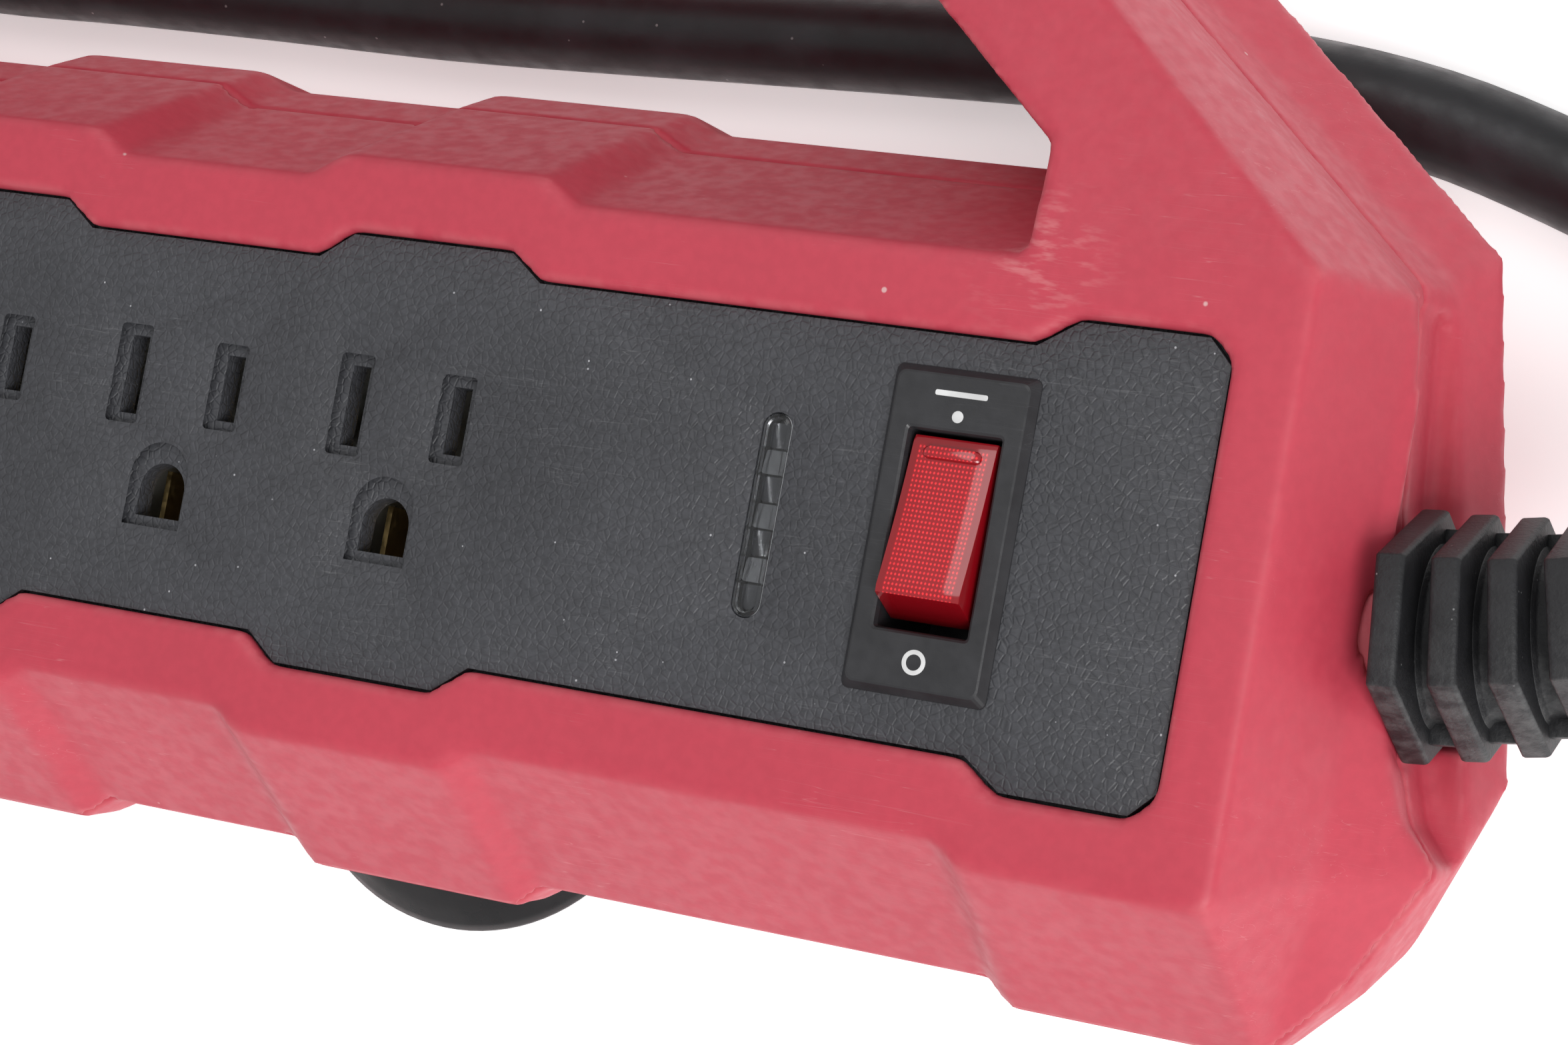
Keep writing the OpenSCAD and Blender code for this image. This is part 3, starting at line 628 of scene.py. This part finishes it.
def build_sleeve(work):
    tube(work, ((141, 8.75), (151.6, 8.75), (152.2, 8.4)), 64)


sleeve = solid("relief_sleeve", build_sleeve)
shade(sleeve, 30)
finish_with(sleeve, RED)
relief = solid("strain_relief_ribs", build_relief)
bevel(relief, 0.5, 2, 25)
apply_modifiers(relief)
shade(relief, 32)
finish_with(relief, RELIEF, nodes=("strain_relief",))

# --- shells with soft moulded folds --------------------------------------------------------


def moulded(node, name):
    """A shell's shape with soft folds, but with its faces flat and its edge at the seam crisp."""
    pattern = copy_of(node, name + "_pattern")
    piece = copy_of(node, name)
    grid = piece.modifiers.new("grid", "REMESH")
    grid.mode = "VOXEL"
    grid.voxel_size = 0.0008
    apply_modifiers(piece)
    flat = piece.modifiers.new("flat", "SHRINKWRAP")
    flat.wrap_method = "NEAREST_SURFACEPOINT"
    flat.target = pattern
    apply_modifiers(piece)
    bpy.data.objects.remove(pattern)
    away = piece.vertex_groups.new(name="away")
    shares = {}
    for v in piece.data.vertices:
        from_seam = abs(v.co.z / MM - SEAM_Z)
        share = min(1, max(0.4, (from_seam - 0.3) / 1.2))
        shares.setdefault(round(share, 1), []).append(v.index)
    for share, group in shares.items():
        away.add(group, share, "REPLACE")
    soften = piece.modifiers.new("soften", "SMOOTH")
    soften.factor = 0.5
    soften.iterations = 8
    soften.vertex_group = "away"
    apply_modifiers(piece)
    piece.vertex_groups.clear()
    piece.data.polygons.foreach_set("use_smooth", [True] * len(piece.data.polygons))
    return finish_with(piece, RED, nodes=(node,))


moulded("front_shell", "front_shell_moulding")
moulded("rear_shell", "rear_shell_moulding")

# --- face plate, with the outlets' openings sunk into it ------------------------------------


def sink(work, outline, at, spread):
    """A cutter with an outline at the surface, wider by the spread on each side at its depth."""
    depth = 1.05
    rings = []
    for z, grow in ((-depth, spread), (0.02, 0), (0.6, 0)):
        rings.append([Vector((at.x + (x + math.copysign(grow, x)) * MM,
                              at.y + (y + math.copysign(grow, y)) * MM, at.z + z * MM))
                      for x, y in outline])
    skin(work, rings)


def build_cutters(work):
    for at in OUTLETS:
        for dx, dy, height in ((HALF_BLADES, 0, 9.41), (-HALF_BLADES, 0.1, 10.86)):
            sink(work, rounded(4.13, height, 0.5, 3), at + mm(dx, dy, 0), 0.85)
        ground = [(x, y + 0.3) for x, y in rounded(7.31, 9.1, 3.6, 8) if y > 0]
        ground += [(-3.65, -4.4), (3.65, -4.4)]
        sink(work, ground, at + mm(0, -11.75, 0), 0.8)


plate = copy_of("face_plate", "face_plate_moulding")
subtract(plate, solid("cutters", build_cutters))
bevel(plate, 0.3, 2, 30)
apply_modifiers(plate)
shade(plate, 30)
finish_with(plate, FACE, nodes=("face_plate",))

# --- switch: bevelled bezel, lit rocker and plain marks --------------------------------------


def box_ring(w, h, z, r):
    """A rectangle with round corners about the switch's middle, at a height over the plate."""
    return [SWITCH_AT + mm(x, y, z) for x, y in rounded(w, h, r, 4)]


def build_bezel(work):
    rings = [
        box_ring(13.6, 29.6, -20, 0.4),
        box_ring(13.6, 29.6, -0.4, 0.4),
        box_ring(15.5, 32.6, -0.3, 0.7),
        box_ring(15.6, 32.7, 0, 0.8),
        box_ring(15.5, 32.6, 0.15, 0.8),
        box_ring(14.2, 31.2, 1.1, 0.9),
        box_ring(13.8, 30.8, 1.2, 0.9),
        box_ring(10.6, 20.6, 1.2, 0.5),
        box_ring(10.1, 20.1, 1.0, 0.4),
        box_ring(9.75, 19.75, 0.4, 0.3),
        box_ring(9.7, 19.7, -13, 0.3),
    ]
    rows = skin(work, rings, caps=False)
    work.faces.new(list(reversed(rows[0])))
    work.faces.new(rows[-1])


bezel = solid("switch_bezel", build_bezel)
shade(bezel, 12)
finish_with(bezel, SWITCH, nodes=("switch_housing",))

ROCKER_TURN = math.radians(-11)
rocker_frame = Matrix.Translation(PIVOT) @ Matrix.Rotation(ROCKER_TURN, 4, "X")


def build_rocker(work):
    half_w, half_l = 4.5, 8.2
    # across the top: share of the half width, and height over the middle
    cols = [(-1, -0.22), (-0.985, -0.06), (-0.93, 0), (-0.5, 0), (0, 0),
            (0.5, 0), (0.93, 0), (0.985, -0.06), (1, -0.22)]
    top = []
    for i in range(25):
        s = i / 24 * 2 - 1
        drop = 0.25 * max(0, abs(s) - 0.93) / 0.07
        top.append([
            work.verts.new(MM * Vector((c * half_w, s * half_l, 6.95 + 0.3 * s * s + e - drop)))
            for c, e in cols
        ])
    for a, b in zip(top, top[1:]):
        for i in range(len(cols) - 1):
            work.faces.new([a[i], a[i + 1], b[i + 1], b[i]])
    rim = [row[0] for row in top] + top[-1][1:-1]
    rim += [row[-1] for row in reversed(top)] + list(reversed(top[0][1:-1]))
    low = []
    for v in rim:
        y = v.co.y
        if abs(y / MM) > half_l - 0.01:
            y = math.copysign(9.25, y) * MM
        low.append(work.verts.new((v.co.x, y, 1.5 * MM)))
    base = [work.verts.new((v.co.x, v.co.y * 0.84, -3 * MM)) for v in low]
    n = len(rim)
    for a, b in ((rim, low), (low, base)):
        for i in range(n):
            j = (i + 1) % n
            work.faces.new([a[j], a[i], b[i], b[j]])
    work.faces.new(base)
    bar = rounded(6.2, 1.3, 0.64, 6)
    rings = [[MM * Vector((x * s, 6.5 + y * s, 6.85 + z)) for x, y in bar]
             for z, s in ((0, 1), (0.5, 1), (0.75, 0.9), (0.82, 0.7))]
    rows = skin(work, rings, caps=False)
    work.faces.new(rows[-1])


rocker = solid("rocker_cap", build_rocker)
rocker.data.transform(rocker_frame)
shade(rocker, 38)
finish_with(rocker, rocker_plastic(PIVOT), "rocker_body", ("rocker",))

PAINT = simple("white print", (0.72, 0.72, 0.72), 0.6)


def build_marks(work):
    """Plain printed marks: a bar and a dot at the reset end, a ring at the off end."""
    low, high = switch_hi.z - 0.02 * MM, switch_hi.z + 0.04 * MM

    def ring(y, r, z):
        return [Vector((SWITCH_AT.x + dx, SWITCH_AT.y + y * MM + dy, z))
                for dx, dy in circle(r * MM, 40)]

    bar = rounded(5.6, 0.55, 0.2, 4)
    skin(work, [[Vector((SWITCH_AT.x + x * MM, SWITCH_AT.y + (13.7 + y) * MM, z)) for x, y in bar]
                for z in (low, high)])
    skin(work, [ring(11.5, 0.6, low), ring(11.5, 0.6, high), ring(11.5, 0.5, high + 0.02 * MM)])
    off = [ring(-12.9, r, z) for r, z in ((1.25, low), (1.25, high), (0.8, high), (0.8, low))]
    join_round(work, skin(work, off, caps=False))


finish_with(solid("printed_marks", build_marks), PAINT)

# --- indicator window ---------------------------------------------------------------------

lens_lo, lens_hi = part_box("indicator_lens")
LENS = Vector(((lens_lo.x + lens_hi.x) / 2, (lens_lo.y + lens_hi.y) / 2, 0))


def window_skin(work, levels, r, steps):
    """A solid through (height over the plate, growth) pairs of the window's outline."""
    rings = []
    for z, grow in levels:
        w, l = 3.1 + 2 * grow, 20.8 + 2 * grow
        outline = rounded(w, l, r or w / 2, steps)
        rings.append([LENS + mm(x, y, FACE_Z / MM + z) for x, y in outline])
    skin(work, rings)


def build_lens(work):
    levels = ((-1.2, 0), (-0.1, 0), (0.06, -0.12), (0.09, -0.4), (-0.05, -0.6))
    window_skin(work, levels, None, 10)


lens = solid("indicator_window", build_lens)
shade(lens, 30)
finish_with(lens, BY_SLOT["lens_clear"], nodes=("indicator_lens",))


def build_segments(work):
    """The dark light guide under the window, in uneven facets."""
    for k, tilt in enumerate((0.35, -0.5, 0.55, -0.3, 0.5, -0.45, 0.4)):
        at = LENS + mm(0, (k - 3) * 2.75, FACE_Z / MM - 2.2)
        outline = rounded(2.7, 2.5, 0.3, 3)
        rings = [[at + mm(x, y, z + (tilt * (y + x) * 0.45 if z > 0 else 0)) for x, y in outline]
                 for z in (-1.5, 0.1, 0.35)]
        skin(work, rings)


# painted shade: a dark slab under the segments that stands in for the shade inside the housing below the window
def build_shade_sheet(work):
    window_skin(work, ((-4.9, 1.5), (-4.2, 1.5), (-4.2, 0), (-3.4, 0)), 1.5, 8)


# DARK colours the segments and also the dark slab of painted shade under them
DARK = simple("smoked segments and painted shade", (0.05, 0.05, 0.056), 0.18)
finish_with(solid("indicator_segments", build_segments), DARK)
finish_with(solid("indicator_shade_sheet", build_shade_sheet), DARK)

# --- suction feet ---------------------------------------------------------------------------

CUP_PROFILE = [
    (0, 8), (4.5, 7.4), (9, 6.5), (14, 5.2), (19.4, 3.3), (22.5, 1.9), (24.8, 0.1), (25.4, 0),
    (26.1, 0.05), (26.38, 0.4), (26.3, 1.0), (25.6, 1.7), (24.6, 2.4), (23.6, 3.3), (20, 5.1),
    (17.5, 7.0), (13.5, 9.0), (10.8, 10.8), (9.2, 12.2), (8.3, 14.4), (7.8, 15.4), (7.6, 17.9),
    (4.0, 18), (4, 20.5), (5.9, 20.6), (5.9, 21.2), (5.2, 23.3), (0, 23.5),
]


def turned_solid(work, profile, steps):
    """A round solid about z, from the (radius, height) pairs of its profile."""
    skin(work, [[mm(x, y, z) for x, y in circle(max(r, 0.02), steps)] for r, z in profile])


def build_cup(work):
    turned_solid(work, CUP_PROFILE, 96)


for i in range(1, 5):
    lo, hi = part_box(f"suction_cup_{i}")
    cup = solid(f"suction_cup_{i}_rubber", build_cup)
    cup.data.transform(Matrix.Translation(((lo.x + hi.x) / 2, (lo.y + hi.y) / 2, 0)))
    shade(cup, 45)
    finish_with(cup, CUP, nodes=(f"suction_cup_{i}",))

# --- screws with a cross recess -------------------------------------------------------------

SCREWS = [
    (-136.5, -51.5), (136.5, -51.5), (-136.5, -4.5), (136.5, -4.5), (-38, -52.4), (19, -52.4),
    (-96.9, 39), (96.9, 39), (0, 63),
]
screw_lo, screw_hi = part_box("shell_screws")


def build_screw(work):
    z0, z1 = screw_lo.z / MM, screw_hi.z / MM
    profile = ((0.5, z1), (1.4, z1 - 0.9), (1.4, z0 + 2.4), (3.05, z0 + 2.4), (3.1, z0 + 0.9),
               (2.8, z0 + 0.3), (2.2, z0))
    turned_solid(work, profile, 32)


def build_cross(work):
    z0 = screw_lo.z / MM
    for w, l in ((3.4, 0.75), (0.75, 3.4)):
        skin(work, [[mm(x * s, y * s, z) for x, y in rounded(w, l, 0.1, 2)]
                    for z, s in ((z0 - 0.5, 1.1), (z0 + 1.3, 0.6))])


one_screw = solid("one_screw", build_screw)
subtract(one_screw, solid("cross", build_cross))


def build_screws(work):
    for k, (x, y) in enumerate(SCREWS):
        turned = one_screw.data.copy()
        turned.transform(Matrix.Translation(mm(x, y, 0)) @ Matrix.Rotation(0.7 * k, 4, "Z"))
        work.from_mesh(turned)


screws = solid("shell_screws_cross", build_screws)
bpy.data.objects.remove(one_screw)
shade(screws, 30)
finish_with(screws, STEEL, nodes=("shell_screws",))

# --- strap round the coil ---------------------------------------------------------------------

STRAP_AT = 200  # degrees round the coil
STRAP_Z = 13.2


def build_strap(work):
    turn = Matrix.Rotation(math.radians(STRAP_AT), 4, "Z")
    outer = rounded(27.2, 25.8, 6, 6)
    inner = rounded(25.2, 23.9, 5.2, 6)
    rings = []
    for outline, y, grow in (
        (outer, -8, 0.25), (outer, -7.6, 0), (outer, 7.6, 0), (outer, 8, 0.25),
        (inner, 8, 0), (inner, -8, 0),
    ):
        ring = []
        for x, z in outline:
            across = COIL_R + x + math.copysign(grow, x)
            up = STRAP_Z + z + math.copysign(grow, z)
            ring.append(MM * (COIL_MID + turn @ Vector((across, y, up))))
        rings.append(ring)
    join_round(work, skin(work, rings, caps=False))


strap = solid("cord_strap", build_strap)
shade(strap, 35)
finish_with(strap, TIE, nodes=("cord_tie",))

# --- plug ---------------------------------------------------------------------------------

FRONT = 62  # from the back of the plug to its front face
BLADE_Y = 5.9
PIN_Y = -5.95


def on_plug(x, y, z):
    """A point from millimetres along the plug, across it and up."""
    return MM * (PLUG_AT + Vector((x, y, z)))


def build_plug(work):
    rings = []
    for k in range(6):
        x = 0.4 + k * 4.1
        r = 7 + 2 * x / 26
        for dx, s in ((0, 0.86), (0.5, 1), (2.3, 1), (2.8, 0.86)):
            rings.append([on_plug(x + dx, *p) for p in rounded(2 * r * s, 2 * r * s, r * s, 9)])
    body = (
        (25, 19, 19, 9.4), (29, 22, 21.5, 9), (34, 24.5, 22.5, 7.5), (40, 26, 22.4, 6.5),
        (48, 26.4, 22, 6.2), (53, 27, 22.4, 6.4), (55, 29.5, 24.8, 6.8), (56, 30.7, 25.7, 7),
        (60.8, 30.9, 25.9, 7), (61.7, 30.2, 25.2, 6.8), (FRONT, 29, 24, 6.4),
    )
    for x, w, h, r in body:
        rings.append([on_plug(x, *p) for p in rounded(w, h, r, 9)])
    skin(work, rings)
    for side in (-1, 1):
        for k in range(5):
            x = 38.5 + k * 2.8
            rings = []
            for out, s in ((0, 0), (1.0, 0), (1.3, 0.5)):
                grip = rounded(1.2, 13 - s, 0.55, 4)
                rings.append([on_plug(x + dx, side * (12.4 + out), z) for dx, z in grip])
            skin(work, rings)


plug = solid("plug_moulding", build_plug)
shade(plug, 38)
finish_with(plug, PLUG, nodes=("plug_body",))


def build_blades(work):
    outline = [(-3, -3.17), (16.2, -3.17), (17.5, -1.9), (17.5, 1.9), (16.2, 3.17), (-3, 3.17)]
    for side in (-1, 1):
        rings = []
        for z, e in ((-0.75, 0.08), (-0.55, 0), (0.55, 0), (0.75, 0.08)):
            rings.append([
                on_plug(FRONT + x * (1 - e * 0.004), BLADE_Y + y * (1 - e), side * HALF_BLADES + z)
                for x, y in outline
            ])
        skin(work, rings)


blades = solid("plug_blades_rounded", build_blades)


def build_hole(work):
    skin(work, [[on_plug(FRONT + 13.6 + x, BLADE_Y + y, z) for x, y in circle(1.6, 32)]
                for z in (-12, 12)])


subtract(blades, solid("hole", build_hole), use_self=False)
shade(blades, 30)
finish_with(blades, BRASS, nodes=("plug_blades",))


def build_pin(work):
    profile = ((-3, 2.38), (17.6, 2.38), (18.9, 2.1), (19.8, 1.5), (20.3, 0.8), (20.5, 0.2))
    skin(work, [[on_plug(FRONT + x, PIN_Y + y, z) for y, z in circle(r, 40)] for x, r in profile])


pin = solid("plug_ground_pin_rounded", build_pin)
shade(pin, 40)
finish_with(pin, BRASS, nodes=("plug_ground_pin",))

# --- CAD nodes that are shown as they are ----------------------------------------------------

slot_of = {row["node"]: row["material_slot"] for row in frame["record"]["subparts"]}
for name, node in frame["nodes"].items():
    if not node.hide_render:
        node.data.materials.clear()
        node.data.materials.append(BY_SLOT.get(slot_of[name], SWITCH))

# --- floor, light and camera ------------------------------------------------------------------


def build_floor(work):
    work.faces.new([work.verts.new((x, y, 0)) for x, y in ((-6, -6), (6, -6), (6, 6), (-6, 6))])


floor = solid("floor", build_floor)
ground = bpy.data.materials.new("pale floor")
ground.use_nodes = True
sockets = ground.node_tree.nodes["Principled BSDF"].inputs
sockets["Base Color"].default_value = (0.96, 0.96, 0.96, 1)
sockets["Roughness"].default_value = 0.9
sockets["Emission Color"].default_value = (1, 1, 1, 1)
sockets["Emission Strength"].default_value = 0.45
floor.data.materials.append(ground)

world = bpy.data.worlds.new("soft light")
bpy.context.scene.world = world
world.use_nodes = True
backdrop = world.node_tree.nodes["Background"].inputs
backdrop["Color"].default_value = (1, 1, 1, 1)
backdrop["Strength"].default_value = 0.5


def lamp(name, at, aim, size, power):
    data = bpy.data.lights.new(name, "AREA")
    data.size = size
    data.energy = power
    made = bpy.data.objects.new(name, data)
    bpy.context.scene.collection.objects.link(made)
    made.location = at
    made.rotation_euler = (Vector(aim) - Vector(at)).to_track_quat("-Z", "Y").to_euler()


lamp("key", (0.75, -0.45, 0.85), (0.08, 0, 0.03), 0.5, 7.5)
lamp("top", (0.0, 0.5, 1.1), (0.05, 0, 0.03), 0.6, 2.2)
bpy.context.scene.view_settings.view_transform = "Standard"

camera_data = bpy.data.cameras.new("camera")
camera_data.sensor_width = 36
camera_data.lens = 85.92
camera_data.clip_start = 0.02
camera = bpy.data.objects.new("camera", camera_data)
bpy.context.scene.collection.objects.link(camera)
look = Vector((-0.42645, 0.06516, -0.90216)).normalized()
right = Vector((0.89436, 0.17943, -0.40980)).normalized()
up = right.cross(look)
pose = Matrix((right, up, -look)).transposed().to_4x4()
pose.translation = (0.25237, -0.05276, 0.40095)
camera.matrix_world = pose
bpy.context.scene.camera = camera

bpy.context.view_layer.update()
